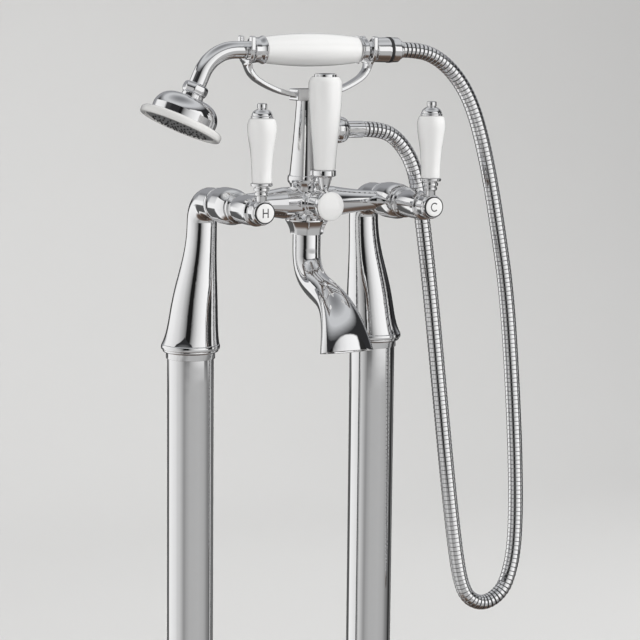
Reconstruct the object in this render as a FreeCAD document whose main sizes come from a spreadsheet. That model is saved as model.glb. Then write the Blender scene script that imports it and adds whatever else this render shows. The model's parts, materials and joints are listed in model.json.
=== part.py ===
# Floor standing bath filler. Two chromed standpipes rise from the floor and carry a
# lever mixer with a swept spout, a cradle on a tapered post and a hand shower.
# Millimetres. The origin is on the floor midway between the standpipes, +Z is up,
# -Y is the front, where the spout pours, and -X is the hot side.
import FreeCAD, Part
import math
import os
import Sketcher

from FreeCAD import Placement, Rotation, Vector

os.makedirs("parts", exist_ok=True)
doc = FreeCAD.newDocument("bath_filler")

# ---------------------------------------------------------------- driving dimensions
DIMENSIONS = [
    ("valve_height", 817.5, "floor to the valve axes"),
    ("leg_spacing", 180, "between the standpipe axes"),
    ("valve_spacing", 159, "between the valve axes"),
    ("body_forward", 44, "standpipe plane to the plane of spout, post and cradle"),
    ("seat_gap", 0.3, "gap between pieces that move apart"),
    ("running_gap", 0.05, "radial gap of a turning fit"),
    ("plate_radius", 32, "foot plate"),
    ("plate_thickness", 4, "foot plate"),
    ("plate_hole_spacing", 50, "foot plate, front to back"),
    ("plate_hole_radius", 2.75, "foot plate"),
    ("spigot_height", 14, "foot plate spigot inside the standpipe"),
    ("supply_clearance", 4, "foot plate and supply pipe"),
    ("cover_radius", 36, "floor cover"),
    ("cover_height", 13, "floor cover"),
    ("cover_wall", 1.5, "floor cover"),
    ("cover_gap", 0.2, "radial gap between floor cover and standpipe"),
    ("tube_radius", 20.3, "standpipe"),
    ("tube_wall", 1.5, "standpipe"),
    ("supply_radius", 7.5, "supply pipe"),
    ("supply_wall", 0.9, "supply pipe"),
    ("leg_foot_drop", 123.8, "valve axis down to the foot of the leg casting"),
    ("leg_foot_radius", 25, "leg casting at its foot"),
    ("leg_neck_radius", 13, "leg casting at its elbow"),
    ("leg_wall", 3, "leg casting"),
    ("elbow_bend", 18, "centre line radius of the elbow"),
    ("collar_height", 12.7, "collar under the leg casting"),
    ("collar_neck_radius", 21.4, "collar where the standpipe enters"),
    ("collar_seat", 3, "collar above the end of the standpipe"),
    ("supply_stub", 6, "supply pipe above the end of the standpipe"),
    ("inlet_forward", 32, "standpipe axis to the inlet union"),
    ("union_length", 4, "inlet union"),
    ("union_radius", 14, "inlet union"),
    ("valve_front", 74, "standpipe plane to the front face of the valve body"),
    ("valve_radius", 15.5, "valve body at its widest"),
    ("bore_overrun", 9, "cartridge bore behind the plane of the cross tubes"),
    ("cross_root_radius", 16.2, "cross tube where it flares into the centre"),
    ("cross_radius", 13.4, "cross tube beside the centre"),
    ("cross_flare", 24, "length of that flare"),
    ("cross_end_radius", 8.4, "cross tube at the valve"),
    ("cross_bore", 6, "water way in the cross tubes"),
    ("boss_radius", 14, "centre boss"),
    ("bonnet_length", 34, "side valve bonnet"),
    ("bonnet_radius", 12, "side valve bonnet"),
    ("spindle_radius", 4, "valve spindle"),
    ("cartridge_radius", 9.3, "valve cartridge"),
    ("cartridge_gap", 0.1, "radial gap between a cartridge and its bore"),
    ("lever_forward", 118, "standpipe plane to the side lever axes"),
    ("hub_radius", 10.4, "side lever hub"),
    ("hub_length", 15.9, "side lever hub"),
    ("index_radius", 8.2, "side index disc"),
    ("index_height", 1.6, "index discs"),
    ("stem_foot_radius", 3.3, "side lever stem"),
    ("stem_socket", 4, "valve axis up to the foot of the side lever stem"),
    ("spindle_insert", 8, "spindle inside its cartridge"),
    ("stem_radius", 5.4, "side lever stem under its ring"),
    ("ring_radius", 9, "side lever ring"),
    ("ring_height", 3.4, "side lever ring"),
    ("grip_rise", 24, "valve axis up to the foot of the side lever grip"),
    ("grip_length", 52.8, "side lever grip"),
    ("grip_foot_radius", 8.1, "side lever grip at its foot"),
    ("grip_radius", 12.1, "side lever grip at its widest"),
    ("cap_radius", 9, "side lever cap"),
    ("stem_tip", 1.5, "side lever stem inside its cap"),
    ("cap_height", 12.2, "side lever cap with its knob"),
    ("knob_radius", 4.1, "knob on the side lever cap"),
    ("diverter_seat", 62, "standpipe plane to the front of the diverter boss"),
    ("diverter_overrun", 8, "diverter bore behind the plane of the cross tubes"),
    ("diverter_lever_forward", 76, "standpipe plane to the diverter lever axis"),
    ("diverter_hub_radius", 13, "diverter hub"),
    ("diverter_socket", 5, "valve axis up to the foot of the diverter stem"),
    ("diverter_insert", 7, "diverter spindle inside its cartridge"),
    ("diverter_front", 88, "standpipe plane to the front of the diverter hub"),
    ("diverter_hub_length", 21.6, "diverter hub"),
    ("diverter_index_radius", 12, "diverter index disc"),
    ("diverter_grip_rise", 30, "valve axis up to the foot of the diverter grip"),
    ("diverter_grip_length", 78.8, "diverter grip"),
    ("diverter_grip_foot_radius", 9.2, "diverter grip at its foot"),
    ("diverter_grip_radius", 14.3, "diverter grip at its widest"),
    ("diverter_ring_radius", 9.7, "diverter lever ring"),
    ("diverter_ring_height", 4.7, "diverter lever ring"),
    ("diverter_cap_radius", 9.4, "diverter lever cap"),
    ("diverter_tip", 1, "diverter stem inside its cap"),
    ("diverter_cap_height", 2.6, "diverter lever cap"),
    ("skirt_top_drop", 15.5, "valve axis down to the top of the spout nut"),
    ("skirt_height", 12, "spout nut"),
    ("skirt_top_width", 35, "across the flats of the spout nut at its top"),
    ("skirt_foot_width", 27, "across the flats of the spout nut at its foot"),
    ("spout_neck_radius", 12.2, "spout at its neck"),
    ("spout_wall", 1.8, "spout"),
    ("spout_reach", 76, "spout neck forward to its mouth"),
    ("spout_drop", 104.3, "spout neck down to its mouth"),
    ("mouth_half_width", 24.5, "spout mouth"),
    ("mouth_half_depth", 12.5, "spout mouth"),
    ("post_base_rise", 17, "valve axis up to the ring under the post"),
    ("post_base_height", 6.5, "ring under the post"),
    ("post_base_radius", 16.6, "ring under the post"),
    ("post_foot_radius", 15.6, "post at its foot"),
    ("post_head_radius", 10, "post at its head"),
    ("post_height", 64, "post"),
    ("post_bore", 5, "water way in the post"),
    ("outlet_rise", 62, "valve axis up to the hose outlet"),
    ("outlet_reach", 24, "post axis to the face of the hose outlet"),
    ("outlet_radius", 8.5, "hose outlet"),
    ("nut_radius", 11.6, "hose nut at the outlet"),
    ("nut_length", 13.4, "hose nut at the outlet"),
    ("ferrule_radius", 7.2, "hose ferrules"),
    ("ferrule_length", 15.6, "hose ferrule at the outlet"),
    ("hose_radius", 7, "hose over its ribs"),
    ("hose_groove", 0.9, "depth of the grooves between the ribs"),
    ("hose_bore", 4.2, "hose bore radius"),
    ("rib_count", 100, "ribs that the hose shows"),
    ("band_thickness", 4, "cradle band"),
    ("band_width", 11.4, "cradle band between the forks, front to back"),
    ("band_bend", 21.1, "centre line radius of the bend under a fork"),
    ("bend_angle", 58.4, "angle of the bend under a fork, degrees"),
    ("bend_rise", 123.2, "valve axis up to the bends under the forks"),
    ("fork_half_span", 58.5, "post axis to a fork"),
    ("fork_width", 28.4, "fork, front to back"),
    ("fork_slot", 17.2, "fork slot, front to back"),
    ("fork_round", 60, "turn of the fork's round bottom before the band, degrees"),
    ("fork_top", 142.3, "valve axis up to the fork tips"),
    ("pad_half_length", 14, "flat seat on the band over the post"),
    ("pad_width", 18, "flat seat, front to back"),
    ("pad_top", 97.5, "valve axis up to the flat seat"),
    ("handset_rise", 130.5, "valve axis up to the handset axis"),
    ("arm_radius", 7.35, "handset arm"),
    ("arm_bore", 4.6, "water way in the arm"),
    ("arm_bend", 34, "centre line radius of the arm bend"),
    ("arm_turn", 65.5, "angle of the arm bend, degrees"),
    ("arm_straight", 15, "arm beyond its bend"),
    ("arm_neck", 8.5, "arm between the front fork and the start of its bend"),
    ("ferrule_clearance", 2, "handset ferrules and the forks"),
    ("front_ferrule_length", 11.5, "front ferrule of the handset"),
    ("rear_ferrule_length", 7.5, "rear ferrule of the handset"),
    ("handset_ferrule_radius", 11.7, "handset ferrules"),
    ("handset_grip_radius", 14.1, "handset grip at its widest"),
    ("handset_grip_end_radius", 11.2, "handset grip at its ends"),
    ("coupling_clearance", 2.5, "hose coupling and the rear fork"),
    ("coupling_length", 27, "hose coupling"),
    ("coupling_radius", 11, "hose coupling"),
    ("coupling_step", 3.4, "end ring of the hose coupling"),
    ("band_ring_place", 13.5, "along the coupling to its dark ring"),
    ("band_ring_width", 2.6, "dark ring on the coupling"),
    ("band_ring_depth", 1.4, "groove of the dark ring"),
    ("rose_nut_radius", 11, "nut behind the rose"),
    ("rose_nut_length", 11, "nut behind the rose"),
    ("rose_radius", 35.8, "rose rim"),
    ("rose_bell_radius", 28.2, "rose bell under the rim"),
    ("rose_bell_height", 21.4, "rose bell"),
    ("rose_dome_height", 15, "rose bell from its nut to its straight side"),
    ("rose_wall", 1.6, "rose bell"),
    ("rose_rim_height", 7, "rose rim"),
    ("rose_face_radius", 31.5, "perforated plate"),
    ("rose_face_sink", 2, "perforated plate behind the edge of the rim"),
    ("rose_face_rise", 2.4, "perforated plate at its middle"),
    ("jet_radius", 1, "jets of the perforated plate"),
    ("jet_circle", 23.6, "radius of the ring of jets"),
    ("jet_count", 6, "jets of the perforated plate"),
]

sheet = doc.addObject("Spreadsheet::Sheet", "Dimensions")
for row, (alias, value, meaning) in enumerate(DIMENSIONS, 1):
    sheet.set(f"A{row}", meaning)
    sheet.set(f"B{row}", str(value))
    sheet.setAlias(f"B{row}", alias)
doc.recompute()


class Size:
    """A size that carries both its number and the spreadsheet formula behind it."""

    def __init__(self, number, formula):
        self.number = number
        self.formula = formula

    def joined(self, other, sign, number):
        return Size(number, f"({self.formula} {sign} {as_size(other).formula})")

    def __add__(self, other):
        return self.joined(other, "+", self.number + as_size(other).number)

    def __sub__(self, other):
        return self.joined(other, "-", self.number - as_size(other).number)

    def __mul__(self, other):
        return self.joined(other, "*", self.number * as_size(other).number)

    def __truediv__(self, other):
        return self.joined(other, "/", self.number / as_size(other).number)

    def __radd__(self, other):
        return as_size(other) + self

    def __rsub__(self, other):
        return as_size(other) - self

    def __rmul__(self, other):
        return as_size(other) * self

    def __rtruediv__(self, other):
        return as_size(other) / self

    def __neg__(self):
        return Size(-self.number, f"(0 - {self.formula})")


def as_size(value):
    return value if isinstance(value, Size) else Size(float(value), repr(float(value)))


def cosine(degrees):
    number = math.cos(math.radians(degrees.number))
    return Size(number, f"cos({degrees.formula} * 1 deg)")


def sine(degrees):
    number = math.sin(math.radians(degrees.number))
    return Size(number, f"sin({degrees.formula} * 1 deg)")


class Sheet:
    """The spreadsheet's cells by name, as sizes."""

    def __getattr__(self, alias):
        return Size(float(sheet.get(alias)), f"Dimensions.{alias}")


D = Sheet()

# ---------------------------------------------------------------- drawing helpers
UP = Rotation()
DOWN = Rotation(Vector(1, 0, 0), 180)
FRONT = Rotation(Vector(1, 0, 0), 90)
RIGHT = Rotation(Vector(0, 1, 0), 90)
LEFT = Rotation(Vector(0, 1, 0), -90)
nodes = {}


def bind(item, prop, size):
    item.setExpression(prop, as_size(size).formula)


def place(item, spot, rotation=UP):
    """Stands an object at a spot; every coordinate stays bound to the spreadsheet."""
    x, y, z = (as_size(value) for value in spot)
    item.Placement = Placement(Vector(x.number, y.number, z.number), rotation)
    for axis, size in zip("xyz", (x, y, z)):
        bind(item, f"Placement.Base.{axis}", size)
    return item


def keep(name, item):
    """Names a finished piece; its name is also the name of its file."""
    item.Label = name
    nodes[name] = item
    return item


def origin_plane(body, role):
    return next(f for f in body.Origin.OriginFeatures if f.Role == role)


def arc_radius(start, end, bulge):
    across, along = end[0] - start[0], end[1] - start[1]
    rise = bulge if bulge.number > 0 else -bulge
    return ((across * across + along * along) / 4 + rise * rise) / (2 * rise)


def edge_geometry(start, end, bulge):
    """A line, or an arc that bulges to the right of the way it runs."""
    first = Vector(start[0].number, start[1].number, 0)
    last = Vector(end[0].number, end[1].number, 0)
    if bulge is None:
        return Part.LineSegment(first, last), first
    way = last - first
    right = Vector(way.y, -way.x, 0).normalize()
    return Part.ArcOfCircle(first, (first + last) / 2 + right * bulge.number, last), first


def draw_outline(sketch, corners):
    """Closed outline. A corner is (across, along), with the bulge of the edge that
    leads to it as a third value where that edge is an arc."""
    corners = [tuple(as_size(value) for value in corner) for corner in corners]
    starts, finishes = [], []
    for index, start in enumerate(corners):
        end = corners[(index + 1) % len(corners)]
        bulge = end[2] if len(end) > 2 else None
        geometry, first = edge_geometry(start, end, bulge)
        edge = sketch.addGeometry(geometry, False)
        ahead = sketch.getPoint(edge, 1).distanceToPoint(first) < 1e-6
        starts.append((edge, 1 if ahead else 2))
        finishes.append((edge, 2 if ahead else 1))
        if bulge is not None:
            radius = arc_radius(start, end, bulge)
            mark = sketch.addConstraint(Sketcher.Constraint("Radius", edge, radius.number))
            bind(sketch, f"Constraints[{mark}]", radius)
    for index, corner in enumerate(corners):
        edge, point = starts[index]
        joint = Sketcher.Constraint("Coincident", *finishes[index - 1], edge, point)
        sketch.addConstraint(joint)
        for kind, size, axis in (("DistanceX", corner[0], -2), ("DistanceY", corner[1], -1)):
            if size.number == 0:
                sketch.addConstraint(Sketcher.Constraint("PointOnObject", edge, point, axis))
                continue
            spot = Sketcher.Constraint(kind, -1, 1, edge, point, size.number)
            mark = sketch.addConstraint(spot)
            bind(sketch, f"Constraints[{mark}]", size)


def new_sketch(body, name, plane, corners):
    sketch = body.newObject("Sketcher::SketchObject", name)
    sketch.AttachmentSupport = [(origin_plane(body, plane), "")]
    sketch.MapMode = "FlatFace"
    draw_outline(sketch, corners)
    return sketch


def turned(name, corners, spot=(0, 0, 0), rotation=UP):
    """A piece turned about its own axis from an outline of (radius, height) corners."""
    body = doc.addObject("PartDesign::Body", name)
    sketch = new_sketch(body, name + "_outline", "XZ_Plane", corners)
    turning = body.newObject("PartDesign::Revolution", name + "_turning")
    turning.Profile = sketch
    turning.ReferenceAxis = (sketch, ["V_Axis"])
    turning.Angle = 360
    return place(body, spot, rotation)


def extruded(name, plane, corners, length, spot=(0, 0, 0), rotation=UP):
    """A flat outline padded to both sides of its plane."""
    body = doc.addObject("PartDesign::Body", name)
    sketch = new_sketch(body, name + "_outline", plane, corners)
    pad = body.newObject("PartDesign::Pad", name + "_pad")
    pad.Profile = sketch
    pad.Midplane = True
    bind(pad, "Length", length)
    return place(body, spot, rotation)


def cylinder(name, radius, length, spot=(0, 0, 0), rotation=UP):
    rod = doc.addObject("Part::Cylinder", name)
    bind(rod, "Radius", radius)
    bind(rod, "Height", length)
    return place(rod, spot, rotation)


def box(name, length, width, height, spot):
    block = doc.addObject("Part::Box", name)
    bind(block, "Length", length)
    bind(block, "Width", width)
    bind(block, "Height", height)
    return place(block, spot)


def fused(name, pieces):
    whole = doc.addObject("Part::MultiFuse", name)
    whole.Shapes = pieces
    return whole


def cut(name, base, tool):
    rest = doc.addObject("Part::Cut", name)
    rest.Base = base
    rest.Tool = tool
    return rest


def drilled(name, base, tools):
    """A piece with its bores cut one after another; the last cut carries the name."""
    for number, tool in enumerate(tools[:-1]):
        base = cut(f"{name}_drilled_{number}", base, tool)
    return cut(name, base, tools[-1])


def tube_outline(inner, outer, length):
    return [(inner, 0), (outer, 0), (outer, length), (inner, length)]


SIDES = (("hot", -1), ("cold", 1))
FORK_INNER = D.fork_half_span - D.band_thickness / 2
FORK_OUTER = D.fork_half_span + D.band_thickness / 2
ARM_BEND_START = FORK_OUTER + D.arm_neck
COUPLING_START = FORK_OUTER + D.coupling_clearance


# ---------------------------------------------------------------- feet and standpipes
def foot(side, sign):
    x = sign * D.leg_spacing / 2
    spigot = D.tube_radius - D.tube_wall
    inner = D.supply_radius + D.supply_clearance
    plate = turned(f"{side}_plate_blank", [
        (inner, 0),
        (D.plate_radius, 0),
        (D.plate_radius, D.plate_thickness),
        (spigot, D.plate_thickness),
        (spigot, D.plate_thickness + D.spigot_height),
        (inner, D.plate_thickness + D.spigot_height),
    ], (x, 0, 0))
    holes = [
        cylinder(f"{side}_plate_hole_{end}", D.plate_hole_radius, D.plate_thickness,
                 (x, way * D.plate_hole_spacing / 2, 0))
        for end, way in (("front", -1), ("back", 1))
    ]
    keep(f"{side}_foot_plate", drilled(f"{side}_foot_plate", plate, holes))
    lip = D.tube_radius + D.cover_gap
    keep(f"{side}_floor_cover", turned(f"{side}_floor_cover", [
        (D.cover_radius - D.cover_wall, 0),
        (D.cover_radius, 0),
        (D.cover_radius, D.cover_height * 0.3),
        (lip + 3, D.cover_height * 0.85, 3),
        (lip + 1.5, D.cover_height),
        (lip, D.cover_height),
        (lip, D.cover_height * 0.85 - D.cover_wall),
        (D.cover_radius - D.cover_wall, D.cover_height * 0.3, -2.2),
    ], (x, 0, 0)))


def standpipe(side, sign):
    x = sign * D.leg_spacing / 2
    top = D.valve_height - D.leg_foot_drop - D.collar_seat
    keep(f"{side}_standpipe", turned(
        f"{side}_standpipe",
        tube_outline(D.tube_radius - D.tube_wall, D.tube_radius, top - D.plate_thickness),
        (x, 0, D.plate_thickness)))
    keep(f"{side}_supply_pipe", turned(
        f"{side}_supply_pipe",
        tube_outline(D.supply_radius - D.supply_wall, D.supply_radius, top + D.supply_stub),
        (x, 0, 0)))


def collar(side, sign):
    """Moulded ring that joins the standpipe to the leg casting and holds the supply pipe."""
    x = sign * D.leg_spacing / 2
    base = D.valve_height - D.leg_foot_drop - D.collar_height
    seat = D.collar_height - D.collar_seat
    keep(f"{side}_leg_collar", turned(f"{side}_leg_collar", [
        (D.tube_radius, 0),
        (D.collar_neck_radius, 0),
        (D.collar_neck_radius, D.collar_height - 7.4),
        (D.leg_foot_radius - 1.5, D.collar_height - 6.9),
        (D.leg_foot_radius - 1, D.collar_height - 4.8, 0.5),
        (D.leg_foot_radius + 0.4, D.collar_height - 4.4),
        (D.leg_foot_radius + 0.4, D.collar_height - 0.6, 0.3),
        (D.leg_foot_radius, D.collar_height),
        (D.supply_radius, D.collar_height),
        (D.supply_radius, seat),
        (D.tube_radius, seat),
    ], (x, 0, base)))


# drop below the elbow, growth in radius and shift outwards, as shares of the whole
LEG_FLARE = (
    (0, 0, 0),
    (0.1, 0.02, 0.03),
    (0.24, 0.1, 0.14),
    (0.45, 0.34, 0.4),
    (0.7, 0.62, 0.68),
    (1, 1, 1),
)


def leg_skin(name, side, sign, wall):
    """Leg casting out to one of its two skins: flared leg, elbow and inlet stub."""
    inner_x = sign * D.valve_spacing / 2
    shift = sign * (D.leg_spacing - D.valve_spacing) / 2
    drop = D.leg_foot_drop - D.elbow_bend
    neck = D.leg_neck_radius - wall
    growth = D.leg_foot_radius - D.leg_neck_radius
    rings = []
    for number, (down, wider, out) in enumerate(LEG_FLARE):
        ring = doc.addObject("Part::Circle", f"{name}_ring_{number}")
        bind(ring, "Radius", neck + growth * wider)
        place(ring, (inner_x + shift * out, 0, D.valve_height - D.elbow_bend - drop * down))
        rings.append(ring)
    flare = doc.addObject("Part::Loft", f"{name}_flare")
    flare.Sections = rings
    flare.Solid = True
    bend = doc.addObject("Part::Torus", f"{name}_bend")
    bind(bend, "Radius1", D.elbow_bend)
    bind(bend, "Radius2", neck)
    bend.Angle3 = 90
    turn = Rotation(Vector(0, 1, 0), Vector(0, 0, 1), Vector(1, 0, 0), "XYZ")
    place(bend, (inner_x, -D.elbow_bend, D.valve_height - D.elbow_bend), turn)
    stub = cylinder(f"{name}_stub", neck, D.inlet_forward - D.elbow_bend,
                    (inner_x, -D.elbow_bend, D.valve_height), FRONT)
    return fused(name, [flare, bend, stub])


def leg(side, sign):
    outside = leg_skin(f"{side}_leg_outside", side, sign, as_size(0))
    inside = leg_skin(f"{side}_leg_inside", side, sign, D.leg_wall)
    keep(f"{side}_leg", cut(f"{side}_leg", outside, inside))
    keep(f"{side}_inlet_union", turned(f"{side}_inlet_union", [
        (D.leg_neck_radius - D.leg_wall, 0),
        (D.union_radius - 0.6, 0),
        (D.union_radius - 0.6, D.union_length, 0.6),
        (D.leg_neck_radius - D.leg_wall, D.union_length),
    ], (sign * D.valve_spacing / 2, -D.inlet_forward, D.valve_height), FRONT))


# ---------------------------------------------------------------- mixer body
def valve_body(side, sign):
    """Barrel shaped valve body, closed at the back around its inlet."""
    length = D.valve_front - D.inlet_forward - D.union_length
    rear = D.leg_neck_radius + 0.4
    return turned(f"{side}_valve_body", [
        (0, 0),
        (rear, 0),
        (D.valve_radius, length * 0.35, 0.6),
        (D.valve_radius, length * 0.62),
        (D.bonnet_radius + 0.9, length - 3, 0.7),
        (D.bonnet_radius, length - 2.2),
        (D.bonnet_radius, length),
        (0, length),
    ], (sign * D.valve_spacing / 2, -(D.inlet_forward + D.union_length), D.valve_height), FRONT)


def mixer_body():
    """One casting: two valve bodies, tapered cross tubes and the centre boss."""
    y = -D.body_forward
    bore = D.cartridge_radius + D.cartridge_gap
    skins, ways = [], []
    for side, sign in SIDES:
        x = sign * D.valve_spacing / 2
        skins.append(valve_body(side, sign))
        reach = D.valve_spacing / 2 - D.union_radius - D.seat_gap
        outward = RIGHT if sign > 0 else LEFT
        skins.append(turned(f"{side}_cross_tube", [
            (0, 0),
            (D.cross_root_radius, 0),
            (D.cross_radius, D.cross_flare, -0.8),
            (D.cross_end_radius, reach, -0.6),
            (0, reach),
        ], (0, y, D.valve_height), outward))
        ways.append(cylinder(f"{side}_cross_way", D.cross_bore, D.valve_spacing / 2,
                             (0, y, D.valve_height), outward))
        ways.append(cylinder(f"{side}_inlet_way", D.leg_neck_radius - D.leg_wall - 1, 10,
                             (x, -D.inlet_forward, D.valve_height), FRONT))
        depth = D.valve_front - D.body_forward + D.bore_overrun
        ways.append(cylinder(f"{side}_cartridge_bore", bore, depth,
                             (x, -(D.valve_front - depth), D.valve_height), FRONT))
    foot_drop = D.skirt_top_drop
    skins.append(turned("centre_boss", [
        (0, 0),
        (D.skirt_top_width / 2 + 1.2, 0),
        (D.skirt_top_width / 2 + 1.2, 1),
        (D.boss_radius, foot_drop * 0.62, -1.2),
        (D.boss_radius, foot_drop + 8),
        (D.post_base_radius - 0.6, foot_drop + D.post_base_rise, -0.8),
        (0, foot_drop + D.post_base_rise),
    ], (0, y, D.valve_height - foot_drop)))
    seat = D.diverter_seat - D.body_forward
    skins.append(cylinder("diverter_boss", D.diverter_hub_radius - 1, seat,
                          (0, y, D.valve_height), FRONT))
    ways.append(cylinder("diverter_bore", bore, seat + D.diverter_overrun,
                         (0, y + D.diverter_overrun, D.valve_height), FRONT))
    ways.append(cylinder("spout_way", D.spout_neck_radius - D.spout_wall, foot_drop + 1,
                         (0, y, D.valve_height - foot_drop - 1)))
    ways.append(cylinder("post_way", D.post_bore, D.post_base_rise + 1,
                         (0, y, D.valve_height)))
    keep("mixer_body", drilled("mixer_body", fused("mixer_body_skin", skins), ways))


def bonnet(side, sign):
    """Turned bonnet that screws into the valve body and guides the spindle."""
    x = sign * D.valve_spacing / 2
    guide = D.spindle_radius + D.running_gap
    keep(f"{side}_bonnet", turned(f"{side}_bonnet", [
        (guide, 0),
        (D.bonnet_radius + 0.8, 0),
        (D.bonnet_radius + 0.8, 3, 0.4),
        (D.bonnet_radius - 0.6, 4.4),
        (D.bonnet_radius, D.bonnet_length - 4, 0.5),
        (D.bonnet_radius - 0.4, D.bonnet_length),
        (guide, D.bonnet_length),
    ], (x, -D.valve_front, D.valve_height), FRONT))
    depth = D.valve_front - D.body_forward + D.bore_overrun
    keep(f"{side}_cartridge", turned(f"{side}_cartridge", [
        (0, 0),
        (D.cartridge_radius - 1.2, 0),
        (D.cartridge_radius - 1.2, depth * 0.5),
        (D.cartridge_radius, depth * 0.5),
        (D.cartridge_radius, depth),
        (guide, depth),
        (guide, depth * 0.75),
        (0, depth * 0.75),
    ], (x, -(D.valve_front - depth), D.valve_height), FRONT))


# ---------------------------------------------------------------- levers
def lever_hub(name, spot, length, back, middle, front, stem):
    """Turned hub on its spindle, with a socket on top for the lever's stem."""
    x, y, z = spot
    blank = turned(f"{name}_hub_blank", [
        (0, 0),
        (back, 0),
        (back, length * 0.12, 0.3),
        (middle, length * 0.18),
        (middle, length * 0.7),
        (front, length * 0.9, 0.4),
        (front, length),
        (0, length),
    ], (x, y, z), FRONT)
    radius, forward, rise = stem
    socket = cylinder(f"{name}_stem_socket", radius, middle, (x, -forward, z + rise))
    keep(f"{name}_hub", cut(f"{name}_hub", blank, socket))


def index_disc(name, spot, radius):
    """Slightly domed glazed disc that marks what the lever controls."""
    keep(name, turned(name, [
        (0, 0),
        (radius, 0),
        (radius, D.index_height * 0.4),
        (radius - D.index_height, D.index_height, D.index_height * 0.15),
        (0, D.index_height),
    ], spot, FRONT))


def spindle(name, spot, length):
    keep(name, turned(name, [
        (0, 0),
        (D.spindle_radius, 0),
        (D.spindle_radius, length),
        (0, length),
    ], spot, FRONT))


def lever_grip(name, spot, foot_radius, radius, length, bore, waist, top_radius):
    """Ceramic grip: a slim foot that swells to a rounded shoulder under the cap."""
    keep(name, turned(name, [
        (bore, 0),
        (foot_radius - 0.5, 0),
        (foot_radius, 0.8, 0.2),
        (radius - 0.4, length * 0.78, waist),
        (radius, length * 0.87, 0.1),
        (top_radius, length, 1.3),
        (bore, length),
    ], spot))


def side_lever(side, sign):
    x = sign * D.valve_spacing / 2
    z = D.valve_height
    name = f"{side}_lever"
    back = D.valve_front + D.bonnet_length + D.seat_gap
    lever_hub(name, (x, -back, z), D.hub_length, D.bonnet_radius, D.hub_radius,
              D.index_radius + 1, (D.stem_foot_radius, D.lever_forward, D.stem_socket))
    index_disc(f"{name}_index", (x, -(back + D.hub_length), z), D.index_radius)
    spindle(f"{name}_spindle", (x, -(D.valve_front - D.spindle_insert), z),
            D.bonnet_length + D.seat_gap + D.spindle_insert)
    rise = D.grip_rise - D.stem_socket
    tip = D.grip_length + D.stem_tip
    keep(f"{name}_stem", turned(f"{name}_stem", [
        (0, 0),
        (D.stem_foot_radius, 0),
        (D.stem_foot_radius, rise - D.ring_height - 7),
        (D.stem_radius, rise - D.ring_height - 6.4),
        (D.stem_radius, rise - D.ring_height),
        (D.ring_radius - 0.6, rise - D.ring_height),
        (D.ring_radius - 0.6, rise, 0.8),
        (D.stem_foot_radius, rise),
        (D.stem_foot_radius, rise + tip),
        (0, rise + tip),
    ], (x, -D.lever_forward, z + D.stem_socket)))
    lever_grip(f"{name}_grip", (x, -D.lever_forward, z + D.grip_rise), D.grip_foot_radius,
               D.grip_radius, D.grip_length, D.stem_foot_radius, -1, D.cap_radius + 0.4)
    keep(f"{name}_cap", turned(f"{name}_cap", [
        (D.stem_foot_radius, 0),
        (D.cap_radius, 0),
        (D.cap_radius, 2.6, 0.3),
        (D.knob_radius - 0.8, D.cap_height - 4.8, 1.6),
        (D.knob_radius, D.cap_height - 4.2),
        (D.knob_radius, D.cap_height - 0.6),
        (D.knob_radius - 0.6, D.cap_height),
        (0, D.cap_height),
        (0, D.stem_tip),
        (D.stem_foot_radius, D.stem_tip),
    ], (x, -D.lever_forward, z + D.grip_rise + D.grip_length)))


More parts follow.
